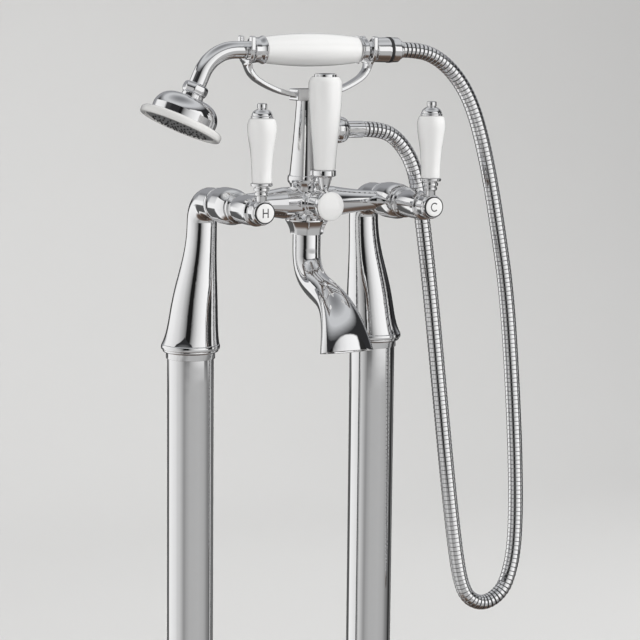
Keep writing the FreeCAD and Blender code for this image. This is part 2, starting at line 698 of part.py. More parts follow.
def diverter():
    """Central control: its bonnet and cartridge on the body, and its own larger lever."""
    z = D.valve_height
    guide = D.spindle_radius + D.running_gap
    back = D.diverter_front - D.diverter_hub_length
    neck = back - D.seat_gap - D.diverter_seat
    keep("diverter_bonnet", turned("diverter_bonnet", [
        (guide, 0),
        (D.diverter_hub_radius - 1.8, 0),
        (D.diverter_hub_radius - 1.8, neck),
        (guide, neck),
    ], (0, -D.diverter_seat, z), FRONT))
    depth = D.diverter_seat - D.body_forward + D.diverter_overrun
    keep("diverter_cartridge", turned("diverter_cartridge", [
        (0, 0),
        (D.cartridge_radius - 1.5, 0),
        (D.cartridge_radius - 1.5, depth * 0.35),
        (D.cartridge_radius, depth * 0.35),
        (D.cartridge_radius, depth),
        (guide, depth),
        (guide, depth * 0.6),
        (0, depth * 0.6),
    ], (0, -(D.body_forward - D.diverter_overrun), z), FRONT))
    lever_hub("diverter_lever", (0, -back, z), D.diverter_hub_length,
              D.diverter_hub_radius - 1.4, D.diverter_hub_radius - 0.6, D.diverter_index_radius + 0.3,
              (D.stem_foot_radius, D.diverter_lever_forward, D.diverter_socket))
    index_disc("diverter_lever_index", (0, -D.diverter_front, z), D.diverter_index_radius)
    spindle("diverter_lever_spindle", (0, -(D.diverter_seat - D.diverter_insert), z),
            back - D.diverter_seat + D.diverter_insert)
    rise = D.diverter_grip_rise - D.diverter_socket
    tip = D.diverter_grip_length + D.diverter_tip
    keep("diverter_lever_stem", turned("diverter_lever_stem", [
        (0, 0),
        (D.stem_foot_radius, 0),
        (D.stem_foot_radius, 8),
        (D.stem_radius + 0.8, rise - D.diverter_ring_height),
        (D.diverter_ring_radius, rise - D.diverter_ring_height),
        (D.diverter_ring_radius, rise),
        (D.stem_foot_radius, rise),
        (D.stem_foot_radius, rise + tip),
        (0, rise + tip),
    ], (0, -D.diverter_lever_forward, z + D.diverter_socket)))
    lever_grip("diverter_lever_grip", (0, -D.diverter_lever_forward, z + D.diverter_grip_rise),
               D.diverter_grip_foot_radius, D.diverter_grip_radius, D.diverter_grip_length,
               D.stem_foot_radius, 0.3, D.diverter_cap_radius + 2)
    top = D.diverter_grip_rise + D.diverter_grip_length
    keep("diverter_lever_cap", turned("diverter_lever_cap", [
        (D.stem_foot_radius, 0),
        (D.diverter_cap_radius, 0),
        (D.diverter_cap_radius, D.diverter_cap_height * 0.7),
        (D.diverter_cap_radius - 1, D.diverter_cap_height),
        (0, D.diverter_cap_height),
        (0, D.diverter_tip),
        (D.stem_foot_radius, D.diverter_tip),
    ], (0, -D.diverter_lever_forward, z + top)))


# ---------------------------------------------------------------- spout
def spout_nut():
    """Octagonal nut, wider at its top, with flats to the front, back and sides."""
    base = D.valve_height - D.skirt_top_drop - D.skirt_height
    corner = 1 / math.cos(math.radians(22.5)) / 2
    rings = []
    for end, width, rise in (("foot", D.skirt_foot_width, 0), ("top", D.skirt_top_width, 1)):
        ring = doc.addObject("Part::RegularPolygon", f"spout_nut_{end}")
        ring.Polygon = 8
        bind(ring, "Circumradius", width * corner)
        place(ring, (0, -D.body_forward, base + D.skirt_height * rise),
              Rotation(Vector(0, 0, 1), 22.5))
        rings.append(ring)
    taper = doc.addObject("Part::Loft", "spout_nut_taper")
    taper.Sections = rings
    taper.Solid = True
    taper.Ruled = True
    bore = cylinder("spout_nut_bore", D.spout_neck_radius + D.seat_gap, D.skirt_height,
                    (0, -D.body_forward, base))
    keep("spout_nut", cut("spout_nut", taper, bore))


# forward and down as shares of the whole spout, tilt from straight down in degrees,
# and how far the section has opened from the neck to the mouth
SPOUT_RINGS = (
    (0, 0, 0, 0),
    (0, 0.12, 0, 0),
    (0, 0.24, 0, 0),
    (0.03, 0.37, 33, 0),
    (0.165, 0.485, 62, 0),
    (0.38, 0.55, 73, 0.02),
    (0.63, 0.615, 63, 0.16),
    (0.85, 0.75, 40, 0.5),
    (1, 1, 14, 1),
)


def spout_skin(name, wall):
    top = D.valve_height - D.skirt_top_drop
    rings = []
    for number, (forward, down, tilt, opened) in enumerate(SPOUT_RINGS):
        neck = D.spout_neck_radius - wall
        ring = doc.addObject("Part::Ellipse", f"{name}_ring_{number}")
        bind(ring, "MajorRadius", neck + (D.mouth_half_width - D.spout_neck_radius) * opened)
        bind(ring, "MinorRadius", neck + (D.mouth_half_depth - D.spout_neck_radius) * opened)
        spot = (0, -(D.body_forward + D.spout_reach * forward), top - D.spout_drop * down)
        rings.append(place(ring, spot, Rotation(Vector(1, 0, 0), 180 - tilt)))
    skin = doc.addObject("Part::Loft", name)
    skin.Sections = rings
    skin.Solid = True
    return skin


def spout():
    keep("spout", cut("spout", spout_skin("spout_outside", as_size(0)),
                      spout_skin("spout_inside", D.spout_wall)))


# ---------------------------------------------------------------- post and cradle
def post():
    y = -D.body_forward
    base = D.valve_height + D.post_base_rise
    keep("post_ring", turned("post_ring", [
        (D.post_bore, 0),
        (D.post_base_radius, 0),
        (D.post_base_radius, D.post_base_height, 0.5),
        (D.post_bore, D.post_base_height),
    ], (0, y, base)))
    foot_rise = D.post_base_rise + D.post_base_height
    shaft = turned("post_shaft", [
        (0, 0),
        (D.post_foot_radius, 0),
        (D.post_head_radius, D.post_height, -0.3),
        (0, D.post_height),
    ], (0, y, D.valve_height + foot_rise))
    level = D.valve_height + D.outlet_rise
    branch = cylinder("post_branch", D.outlet_radius, D.outlet_reach, (0, y, level), RIGHT)
    water = D.outlet_rise - foot_rise + D.post_bore
    ways = [
        cylinder("post_water_way", D.post_bore, water, (0, y, D.valve_height + foot_rise)),
        cylinder("branch_way", D.hose_bore, D.outlet_reach, (0, y, level), RIGHT),
    ]
    keep("post", drilled("post", fused("post_skin", [shaft, branch]), ways))


def band_side(distance):
    """Bend and sweep of one side of the band, at a distance outside its middle line:
    bulge of the bend, the place where it meets the sweep, and bulge of the sweep."""
    radius = D.band_bend + distance
    centre = D.fork_half_span - D.band_bend
    turned_in, turned_down = cosine(D.bend_angle), sine(D.bend_angle)
    meet = (centre + radius * turned_in, D.bend_rise - radius * turned_down)
    sweep = meet[0] * (1 - turned_down) / turned_in
    return radius * (1 - cosine(D.bend_angle / 2)), meet, sweep


def cradle():
    """Band bent up into a fork at each end, with a flat seat over the post."""
    top = D.fork_top
    under, (low_x, low_z), under_sweep = band_side(D.band_thickness / 2)
    over, (high_x, high_z), over_sweep = band_side(-D.band_thickness / 2)
    strip = extruded("cradle_strip", "XZ_Plane", [
        (-FORK_OUTER, top),
        (-FORK_OUTER, D.bend_rise),
        (-low_x, low_z, under),
        (low_x, low_z, under_sweep),
        (FORK_OUTER, D.bend_rise, under),
        (FORK_OUTER, top),
        (FORK_INNER, top),
        (FORK_INNER, D.bend_rise),
        (high_x, high_z, -over),
        (-high_x, high_z, -over_sweep),
        (-FORK_INNER, D.bend_rise, -over),
        (-FORK_INNER, top),
    ], D.fork_width, (0, -D.body_forward, D.valve_height))
    slot = D.fork_slot / 2
    seat = D.handset_rise - D.seat_gap - D.arm_radius + slot
    half = D.fork_width / 2
    waist = D.band_width / 2
    corner, flank = half * cosine(D.fork_round), half * sine(D.fork_round)
    round_bulge = half * (1 - cosine(D.fork_round / 2))
    neck = seat - flank - D.band_width / 2 - 1.6
    foot = D.pad_top - D.band_thickness - 6
    front = extruded("cradle_front", "YZ_Plane", [
        (-half, top),
        (-half, seat),
        (-corner, seat - flank, round_bulge),
        (-waist, neck, -0.6),
        (-waist, foot),
        (waist, foot),
        (waist, neck),
        (corner, seat - flank, -0.6),
        (half, seat, round_bulge),
        (half, top),
    ], 2 * FORK_OUTER, (0, -D.body_forward, D.valve_height))
    shaped = doc.addObject("Part::Common", "cradle_shaped_strip")
    shaped.Base = strip
    shaped.Tool = front
    level = D.valve_height + seat
    y = -D.body_forward
    slots = [
        cylinder("cradle_slot_seat", slot, 2 * FORK_OUTER, (-FORK_OUTER, y, level), RIGHT),
        box("cradle_slot_mouth", 2 * FORK_OUTER, D.fork_slot, top - seat,
            (-FORK_OUTER, y - slot, level)),
    ]
    forked = drilled("cradle_forked", shaped, slots)
    pad = box("cradle_pad", 2 * D.pad_half_length, D.pad_width, D.pad_top - foot,
              (-D.pad_half_length, y - D.pad_width / 2, D.valve_height + foot))
    keep("cradle", fused("cradle", [forked, pad]))


# ---------------------------------------------------------------- hose
def hose_fittings():
    y = -D.body_forward
    z = D.valve_height + D.outlet_rise
    keep("hose_nut", turned("hose_nut", [
        (D.hose_bore, 0),
        (D.nut_radius - 1.6, 0),
        (D.nut_radius, D.nut_length * 0.35, 0.5),
        (D.nut_radius - 0.5, D.nut_length * 0.62, 0.2),
        (D.ferrule_radius + 0.6, D.nut_length, 0.8),
        (D.hose_bore, D.nut_length),
    ], (D.outlet_reach, y, z), RIGHT))
    keep("hose_ferrule", turned("hose_ferrule", [
        (D.hose_bore, 0),
        (D.ferrule_radius, 0),
        (D.ferrule_radius, D.ferrule_length),
        (D.hose_bore, D.ferrule_length),
    ], (D.outlet_reach + D.nut_length, y, z), RIGHT))


# the hose's route between its two ends, as (to the right of the post axis, above the
# valve axes), in the plane of the post; it hangs in one loop beside the cold lever
HOSE_ROUTE = (
    (110, 130.5), (131, 122), (149, 106), (162.5, 85.5), (173.5, 57), (184, 18), (194, -30),
    (205, -90), (213, -170), (219.5, -262), (220, -325), (213, -357), (203.5, -371),
    (187.5, -378), (171.5, -372), (162.5, -357), (156, -326), (147.5, -268), (137, -185),
    (127, -103), (119, -45), (112, 0), (105, 31), (89, 53), (71, 62),
)


def hose_path():
    """Straight runs joined by tangent arcs, from the coupling down and back to the outlet."""
    ends = [
        (COUPLING_START + D.coupling_length, D.handset_rise),
        (D.outlet_reach + D.nut_length + D.ferrule_length, D.outlet_rise),
    ]
    start, finish = [Vector(x.number, 0, z.number) for x, z in ends]
    points = [start] + [Vector(x, 0, z) for x, z in HOSE_ROUTE] + [finish]
    edges, radii = [], []
    last = start
    for before, corner, after in zip(points, points[1:], points[2:]):
        coming = (corner - before).normalize()
        going = (after - corner).normalize()
        half_turn = coming.getAngle(going) / 2
        shorter = min((corner - before).Length, (after - corner).Length)
        reach = 0.45 * shorter
        radius = reach / math.tan(half_turn)
        inward = (going - coming).normalize()
        middle = corner + inward * (radius / math.cos(half_turn) - radius)
        enter, leave = corner - coming * reach, corner + going * reach
        edges.append(Part.LineSegment(last, enter).toShape())
        edges.append(Part.Arc(enter, middle, leave).toShape())
        radii.append(radius)
        last = leave
    edges.append(Part.LineSegment(last, finish).toShape())
    print("hose bend radii", [round(radius) for radius in radii])
    return edges


def along(edges, distance):
    """The point and the direction of the path at a distance from its start."""
    for edge in edges:
        if distance <= edge.Length or edge is edges[-1]:
            spot = edge.getParameterByLength(min(distance, edge.Length))
            return edge.valueAt(spot), edge.tangentAt(spot)
        distance -= edge.Length


def ring_wire(edges, distance, radius):
    """A circle round the path whose start stays on a steady X axis."""
    point, way = along(edges, distance)
    across = Vector(0, 1, 0)
    turn = Rotation(across, way.cross(across), way, "ZXY")
    ring = Part.Circle(Vector(0, 0, 0), Vector(0, 0, 1), radius).toShape()
    ring.Placement = Placement(point, turn)
    return Part.Wire([ring])


def hose():
    """Ribbed metal hose: each rib is a ruled loft through four circles, over a bore."""
    edges = hose_path()
    length = sum(edge.Length for edge in edges)
    crest = D.hose_radius.number
    groove = crest - D.hose_groove.number
    ribs = round(D.rib_count.number)
    straight = 2 * crest
    pitch = (length - 2 * straight) / ribs
    stations = [(0, groove)]
    for rib in range(ribs):
        start = straight + rib * pitch
        for share, radius in ((0, groove), (0.2, crest), (0.6, crest), (0.8, groove)):
            stations.append((start + share * pitch, radius))
    stations.append((length, groove))
    skin = Part.makeLoft([ring_wire(edges, *station) for station in stations], True, True)
    bore = D.hose_bore.number
    spots = [0] + [straight + rib * pitch for rib in range(ribs + 1)] + [length]
    core = Part.makeLoft([ring_wire(edges, spot, bore) for spot in spots], True, True)
    tube = skin.cut(core)
    section = math.pi * ((crest + groove) ** 2 / 4 - bore ** 2)
    print("hose length", round(length), "volume", round(tube.Volume),
          "section times length", round(section * length))
    pipe = doc.addObject("Part::Feature", "hose")
    pipe.Shape = tube
    keep("hose", place(pipe, (0, -D.body_forward, D.valve_height)))


# ---------------------------------------------------------------- handset
def arm_pieces(name, radius):
    """Straight tube through the grip, the bend beyond the cradle and the run to the rose."""
    y = -D.body_forward
    level = D.valve_height + D.handset_rise
    straight = cylinder(f"{name}_straight", radius, COUPLING_START + ARM_BEND_START,
                        (COUPLING_START, y, level), LEFT)
    bend = doc.addObject("Part::Torus", f"{name}_bend")
    bind(bend, "Radius1", D.arm_bend)
    bind(bend, "Radius2", radius)
    bind(bend, "Angle3", D.arm_turn)
    turn = Rotation(Vector(0, 0, 1), Vector(-1, 0, 0), Vector(0, -1, 0), "XYZ")
    place(bend, (-ARM_BEND_START, y, level - D.arm_bend), turn)
    run = towards_rose(cylinder(f"{name}_run", radius, D.arm_straight), 0)
    return fused(name, [straight, bend, run])


def towards_rose(item, distance):
    """Places a piece on the rose's axis, beyond the end of the arm bend."""
    level = D.valve_height + D.handset_rise - D.arm_bend
    across, down = cosine(D.arm_turn), sine(D.arm_turn)
    x = -ARM_BEND_START - D.arm_bend * down - across * distance
    z = level + D.arm_bend * across - down * distance
    place(item, (x, -D.body_forward, z),
          Rotation(Vector(0, -1, 0), (90 + D.arm_turn).number))
    bind(item, "Placement.Rotation.Angle", 90 + D.arm_turn)
    return item


def handset_arm():
    keep("handset_arm", cut("handset_arm", arm_pieces("arm_outside", D.arm_radius),
                            arm_pieces("arm_inside", D.arm_bore)))


def handset_grip():
    y = -D.body_forward
    level = D.valve_height + D.handset_rise
    bore = D.arm_radius
    front = FORK_INNER - D.ferrule_clearance - D.front_ferrule_length
    rear = FORK_INNER - D.ferrule_clearance - D.rear_ferrule_length
    end_radius = D.handset_grip_end_radius
    keep("handset_grip", turned("handset_grip", [
        (bore, 0),
        (end_radius - 0.7, 0),
        (end_radius, 1.2, 0.3),
        (end_radius, front + rear - 1.2, D.handset_grip_radius - end_radius),
        (end_radius - 0.7, front + rear, 0.3),
        (bore, front + rear),
    ], (-front, y, level), RIGHT))
    radius = D.handset_ferrule_radius
    for name, length, spot, way in (
        ("handset_front_ferrule", D.front_ferrule_length, -front, LEFT),
        ("handset_rear_ferrule", D.rear_ferrule_length, rear, RIGHT),
    ):
        keep(name, turned(name, [
            (bore, 0),
            (radius, 0),
            (radius, 1.4, 0.3),
            (radius - 1.2, length * 0.5, -0.3),
            (radius - 0.6, length - 1.2),
            (radius - 1.8, length, 0.4),
            (bore, length),
        ], (spot, y, level), way))


def handset_coupling():
    y = -D.body_forward
    level = D.valve_height + D.handset_rise
    radius = D.coupling_radius
    ring = D.band_ring_place
    width = D.band_ring_width
    seat = radius - D.band_ring_depth
    keep("hose_coupling", turned("hose_coupling", [
        (D.hose_bore, 0),
        (radius - 0.5, 0),
        (radius - 0.1, ring),
        (seat, ring),
        (seat, ring + width),
        (radius, ring + width),
        (radius - 0.3, D.coupling_length - D.coupling_step),
        (D.ferrule_radius + 1, D.coupling_length - D.coupling_step),
        (D.ferrule_radius + 1, D.coupling_length),
        (D.hose_bore, D.coupling_length),
    ], (COUPLING_START, y, level), RIGHT))
    keep("coupling_ring", turned("coupling_ring", tube_outline(seat, radius + 0.2, width),
                                 (COUPLING_START + ring, y, level), RIGHT))


def rose():
    """Swivel nut, bell, rim and perforated plate, all on the tilted axis of the arm."""
    nut_start = D.arm_straight - D.rose_nut_length / 2
    nut_radius = D.rose_nut_radius
    nut_end = D.rose_nut_length
    keep("rose_nut", towards_rose(turned("rose_nut", [
        (D.arm_radius, 0),
        (nut_radius - 1.8, 0),
        (nut_radius, 2.4, 0.4),
        (nut_radius, nut_end - 1.6),
        (nut_radius - 1, nut_end, 0.3),
        (D.arm_bore, nut_end),
        (D.arm_bore, nut_end / 2),
        (D.arm_radius, nut_end / 2),
    ]), nut_start))
    start = nut_start + nut_end
    bell = D.rose_bell_height
    wall = D.rose_wall
    keep("rose_bell", towards_rose(turned("rose_bell", [
        (D.arm_bore, 0),
        (nut_radius - 1.6, 0),
        (nut_radius - 1.6, 2.5),
        (D.rose_bell_radius, D.rose_dome_height, 5),
        (D.rose_bell_radius, bell),
        (D.rose_bell_radius - wall, bell),
        (D.rose_bell_radius - wall, D.rose_dome_height),
        (nut_radius - 2, 2.5 + wall, -4.4),
        (D.arm_bore, 2.5 + wall),
    ]), start))
    rim = D.rose_rim_height
    keep("rose_rim", towards_rose(turned("rose_rim", [
        (D.rose_bell_radius - wall, 0),
        (D.rose_radius - 2.5, 0),
        (D.rose_radius, 2.5, 0.7),
        (D.rose_radius, rim - 1.5),
        (D.rose_radius - 1.5, rim, 0.4),
        (D.rose_face_radius, rim),
        (D.rose_face_radius, rim - D.rose_face_sink),
        (D.rose_bell_radius - wall, rim - D.rose_face_sink),
    ]), start + bell))
    plate = turned("rose_plate_blank", [
        (0, 0),
        (D.rose_face_radius, 0),
        (D.rose_face_radius, 1.4),
        (D.rose_face_radius * 0.4, D.rose_face_rise, 0.1),
        (0, D.rose_face_rise),
    ])
    jets = []
    for number in range(round(D.jet_count.number)):
        angle = 360 * number / D.jet_count
        jets.append(cylinder(f"rose_jet_{number}", D.jet_radius, D.rose_face_rise + 1,
                             (D.jet_circle * cosine(angle), D.jet_circle * sine(angle), 0)))
    face = cut("rose_plate", plate, fused("rose_jets", jets))
    keep("rose_plate", towards_rose(face, start + bell + rim - D.rose_face_sink))


# ---------------------------------------------------------------- build and export
for side, sign in SIDES:
    foot(side, sign)
    standpipe(side, sign)
    collar(side, sign)
    leg(side, sign)
    bonnet(side, sign)
    side_lever(side, sign)
mixer_body()
diverter()
spout_nut()
spout()
post()
cradle()
hose_fittings()
hose()
handset_arm()
handset_grip()
handset_coupling()
rose()

doc.recompute()
for item in doc.Objects:
    if "Invalid" in item.State or "Error" in item.State:
        raise RuntimeError(f"{item.Label} did not build: {item.State}")
for name, item in nodes.items():
    shape = item.Shape
    if shape.isNull() or not shape.isValid() or len(shape.Solids) != 1:
        raise RuntimeError(f"{name} is not one sound solid")
    shape.exportStep(f"parts/{name}.step")
print(len(nodes), "pieces")
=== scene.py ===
import json
import math

import bpy
from mathutils import Matrix, Vector


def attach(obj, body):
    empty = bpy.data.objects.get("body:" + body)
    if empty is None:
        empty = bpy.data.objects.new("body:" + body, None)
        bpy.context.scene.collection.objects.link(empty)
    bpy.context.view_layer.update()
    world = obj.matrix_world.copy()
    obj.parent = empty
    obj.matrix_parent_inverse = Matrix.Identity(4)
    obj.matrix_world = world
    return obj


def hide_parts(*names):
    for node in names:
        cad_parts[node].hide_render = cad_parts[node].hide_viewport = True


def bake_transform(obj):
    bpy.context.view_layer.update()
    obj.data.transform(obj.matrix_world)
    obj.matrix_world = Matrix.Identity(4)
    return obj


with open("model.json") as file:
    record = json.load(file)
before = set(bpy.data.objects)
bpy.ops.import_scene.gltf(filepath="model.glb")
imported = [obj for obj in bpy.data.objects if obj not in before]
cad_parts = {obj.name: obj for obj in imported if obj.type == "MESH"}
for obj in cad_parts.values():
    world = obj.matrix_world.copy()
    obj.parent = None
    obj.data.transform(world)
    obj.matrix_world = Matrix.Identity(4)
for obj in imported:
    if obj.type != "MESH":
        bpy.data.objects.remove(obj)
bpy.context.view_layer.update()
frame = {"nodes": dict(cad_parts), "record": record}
nodes = frame["nodes"]
scene = bpy.context.scene

MM = 0.001
VALVE = 0.8175   # height of the valves' axes
FRONT = -0.044   # y of the plane of the spout, post, hose and hand shower
SIDES = (("hot", -1), ("cold", 1))


# ---------------------------------------------------------------- camera
# worked out from the places of the valves, collars and cradle forks in the photo
VIEW_ANGLES = (27.44, 8.03, 0.59)   # azimuth, elevation and roll in degrees
VIEW_SPOT = (-0.86975, -1.74552, 0.98460)
FOCAL_PIXELS, PICTURE_PIXELS, SENSOR = 2220.56, 640, 36


def make_camera():
    """Camera at the photo's viewing angle and distance."""
    azimuth, elevation, roll = (math.radians(angle) for angle in VIEW_ANGLES)
    back = Vector((-math.sin(azimuth) * math.cos(elevation),
                   -math.cos(azimuth) * math.cos(elevation), math.sin(elevation)))
    level = Vector((math.cos(azimuth), -math.sin(azimuth), 0))
    upright = level.cross(-back)
    right = math.cos(roll) * level + math.sin(roll) * upright
    up = -math.sin(roll) * level + math.cos(roll) * upright
    data = bpy.data.cameras.new("camera")
    data.sensor_width = SENSOR
    data.lens = FOCAL_PIXELS / PICTURE_PIXELS * SENSOR
    data.clip_start, data.clip_end = 0.1, 60
    camera = bpy.data.objects.new("camera", data)
    turn = Matrix((right, up, back)).transposed().to_4x4()
    camera.matrix_world = Matrix.Translation(VIEW_SPOT) @ turn
    scene.collection.objects.link(camera)
    scene.camera = camera


make_camera()


# ---------------------------------------------------------------- materials
class Nodes:
    """Short hand for building a node tree."""

    def __init__(self, tree):
        self.tree = tree

    def add(self, kind, inputs=None, **settings):
        """A node with its inputs linked or set."""
        node = self.tree.nodes.new(kind)
        for name, value in settings.items():
            setattr(node, name, value)
        for name, value in (inputs or {}).items():
            if isinstance(value, bpy.types.NodeSocket):
                self.tree.links.new(value, node.inputs[name])
            else:
                node.inputs[name].default_value = value
        return node

    def math(self, operation, first, second=0.0, clamp=False):
        return self.add("ShaderNodeMath", {0: first, 1: second}, operation=operation,
                        use_clamp=clamp).outputs[0]

    def noise(self, vector, scale, detail=3.0, roughness=0.5):
        return self.add("ShaderNodeTexNoise", {"Vector": vector, "Scale": scale,
                                               "Detail": detail, "Roughness": roughness})

    def ramp(self, factor, low, high):
        """Maps factor 0..1 to low..high, numbers."""
        return self.add("ShaderNodeMapRange", {"Value": factor, "To Min": low,
                                               "To Max": high}).outputs[0]

    def mix(self, factor, first, second):
        """Colour from first at 0 to second at 1."""
        node = self.add("ShaderNodeMix", data_type="RGBA")
        for socket, value in ((0, factor), (6, first), (7, second)):
            if isinstance(value, bpy.types.NodeSocket):
                self.tree.links.new(value, node.inputs[socket])
            else:
                node.inputs[socket].default_value = value
        return node.outputs[2]


def new_material(name):
    """An empty material with its shader linked, and the object's own coordinates."""
    material = bpy.data.materials.new(name)
    material.use_nodes = True
    material.node_tree.nodes.clear()
    n = Nodes(material.node_tree)
    place = n.add("ShaderNodeTexCoord").outputs["Object"]
    shader = n.add("ShaderNodeBsdfPrincipled")
    n.add("ShaderNodeOutputMaterial", {"Surface": shader.outputs[0]})
    return material, n, place, shader


def link(n, socket, shader, name):
    """Drives the shader's named input."""
    n.tree.links.new(socket, shader.inputs[name])


def metal(name, colour, low, high, wave=0.02, smear=90, tint=0.96):
    """Polished plating: faint smears in its gloss, a slow wave and fine scratches."""
    material, n, place, shader = new_material(name)
    shader.inputs["Metallic"].default_value = 1
    cloud = n.noise(place, smear, 4, 0.6).outputs["Fac"]
    shade = tuple(part * tint for part in colour) + (1,)
    link(n, n.mix(cloud, colour + (1,), shade), shader, "Base Color")
    stretched = n.add("ShaderNodeMapping", {"Vector": place, "Scale": (1, 1, 0.08)}).outputs[0]
    scratch = n.noise(stretched, 2600, 2, 0.7).outputs["Fac"]
    level = n.math("MULTIPLY", n.math("ADD", cloud, scratch), 0.5)
    link(n, n.ramp(level, low, high), shader, "Roughness")
    slow = n.noise(place, 42, 1, 0.4).outputs["Fac"]
    height = n.math("ADD", slow, n.math("MULTIPLY", scratch, 0.02))
    bump = n.add("ShaderNodeBump", {"Height": height, "Strength": wave, "Distance": 0.004})
    link(n, bump.outputs[0], shader, "Normal")
    return material


def ceramic(name, colour, warm):
    """Glazed ceramic: milky colour that pools, and the gentle ripple of a dipped glaze."""
    material, n, place, shader = new_material(name)
    pool = n.noise(place, 38, 3, 0.5).outputs["Fac"]
    speck = n.noise(place, 900, 2, 0.5).outputs["Fac"]
    tone = n.math("ADD", n.math("MULTIPLY", pool, 0.8), n.math("MULTIPLY", speck, 0.2))
    link(n, n.mix(tone, colour + (1,), warm + (1,)), shader, "Base Color")
    link(n, n.ramp(speck, 0.09, 0.16), shader, "Roughness")
    shader.inputs["IOR"].default_value = 1.52
    shader.inputs["Coat Weight"].default_value = 0.6
    shader.inputs["Coat Roughness"].default_value = 0.04
    ripple = n.noise(place, 110, 2, 0.5).outputs["Fac"]
    bump = n.add("ShaderNodeBump", {"Height": ripple, "Strength": 0.05, "Distance": 0.002})
    link(n, bump.outputs[0], shader, "Normal")
    return material


def dull(name, colour, dark, roughness, grain=1500, strength=0.2, metallic=0.0):
    """Rubber, paint for engraved letters, unplated metal, or dark painted shade in grooves and
    gaps, with a fine grain.
    """
    material, n, place, shader = new_material(name)
    shader.inputs["Metallic"].default_value = metallic
    fine = n.noise(place, grain, 3, 0.6).outputs["Fac"]
    broad = n.noise(place, 60, 3, 0.5).outputs["Fac"]
    tone = n.math("MULTIPLY", n.math("ADD", fine, broad), 0.5)
    link(n, n.mix(tone, colour + (1,), dark + (1,)), shader, "Base Color")
    link(n, n.ramp(fine, roughness * 0.8, min(1, roughness * 1.25)), shader, "Roughness")
    bump = n.add("ShaderNodeBump", {"Height": fine, "Strength": strength, "Distance": 0.0003})
    link(n, bump.outputs[0], shader, "Normal")
    return material


CHROME = metal("chrome", (0.91, 0.91, 0.915), 0.008, 0.035, 0.015)
HOSE = metal("hose_chrome", (0.90, 0.90, 0.905), 0.02, 0.06, 0.004)
# dark painted shade for the faces in the hose's grooves, as a dark metal
GROOVE_SHADE = dull("hose_groove", (0.05, 0.05, 0.052), (0.09, 0.09, 0.092), 0.4, 1200, 0.2, 0.8)
CERAMIC = ceramic("ceramic", (0.885, 0.883, 0.877), (0.855, 0.851, 0.843))
RIM = ceramic("rose_rim", (0.82, 0.815, 0.80), (0.76, 0.755, 0.735))
RUBBER = dull("rubber", (0.018, 0.018, 0.019), (0.03, 0.03, 0.031), 0.5)
# dark paint for the engraved letters; the same material is the painted shade in the gap round the
# lever discs
INK_AND_GAP_SHADE = dull("engraving_and_gap_shade", (0.012, 0.012, 0.013), (0.03, 0.03, 0.03), 0.45)
BRASS = dull("brass", (0.72, 0.52, 0.24), (0.60, 0.42, 0.18), 0.28, 900, 0.1, 1.0)
COPPER = dull("pipe", (0.75, 0.38, 0.24), (0.52, 0.25, 0.15), 0.32, 700, 0.15, 1.0)
STEEL = dull("steel", (0.56, 0.56, 0.57), (0.42, 0.42, 0.43), 0.3, 1200, 0.2, 1.0)
BY_SLOT = {"chrome": CHROME, "ceramic": CERAMIC, "rose_rim": RIM, "seal": RUBBER,
           "hose": HOSE, "brass": BRASS, "pipe": COPPER, "steel": STEEL}

ROUNDED_EDGES = (   # node and width of its rounded edges in millimetres
    ("cradle", 1.3), ("spout", 0.3), ("post_ring", 0.5), ("hose_coupling", 0.3),
    ("hot_leg_collar", 0.4), ("cold_leg_collar", 0.4), ("hot_inlet_union", 0.3),
    ("cold_inlet_union", 0.3),
)


def dress_solids():
    """Materials on all solids, and rounded edges on the castings that show."""
    for part in frame["record"]["subparts"]:
        item = nodes[part["node"]]
        item.data.materials.clear()
        item.data.materials.append(BY_SLOT[part["material_slot"]])
    for name, width in ROUNDED_EDGES:
        joined = nodes[name].modifiers.new("joined", "WELD")
        joined.merge_threshold = 0.01 * MM
        edge = nodes[name].modifiers.new("edge", "BEVEL")
        edge.width, edge.segments = width * MM, 3
        edge.limit_method, edge.angle_limit = "ANGLE", math.radians(38)
        edge.harden_normals = True


dress_solids()


# ---------------------------------------------------------------- helpers
UP, AHEAD = Vector((0, 0, 1)), Vector((0, -1, 0))


def add_piece(name, mesh, material, body, stands_for=()):
    """A piece that rides on a body and may stand in for solids."""
    mesh.materials.append(material)
    piece = bpy.data.objects.new(name, mesh)
    scene.collection.objects.link(piece)
    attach(piece, body)
    if stands_for:
        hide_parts(*stands_for)


def softened(profile, fillet, steps=4):
    """The profile with each of its corners turned into a small arc."""
    spots = [Vector(point) for point in profile]
    line = [spots[0]]
    for before, corner, after in zip(spots, spots[1:], spots[2:]):
        first, last = before - corner, after - corner
        reach = min(fillet, first.length * 0.45, last.length * 0.45)
        start = corner + first.normalized() * reach
        end = corner + last.normalized() * reach
        for step in range(steps + 1):
            share = step / steps
            line.append(start.lerp(corner, share).lerp(corner.lerp(end, share), share))
    line.append(spots[-1])
    return line


def flowing(profile, steps=8):
    """A smooth line through all points of the profile."""
    spots = [Vector(point) for point in profile]
    spots = [2 * spots[0] - spots[1]] + spots + [2 * spots[-1] - spots[-2]]
    line = []
    for a, b, c, d in zip(spots, spots[1:], spots[2:], spots[3:]):
        for step in range(steps):
            t = step / steps
            line.append(0.5 * (2 * b + (c - a) * t + (2 * a - 5 * b + 4 * c - d) * t * t
                               + (3 * b - a - 3 * c + d) * t ** 3))
    line.append(spots[-2])
    return line


def ring_faces(rings, around, closed=False):
    """Faces between rings of vertices that follow each other."""
    faces = []
    for ring in range(rings if closed else rings - 1):
        above = (ring + 1) % rings
        for step in range(around):
            follow = (step + 1) % around
            faces.append((ring * around + step, ring * around + follow,
                          above * around + follow, above * around + step))
    return faces


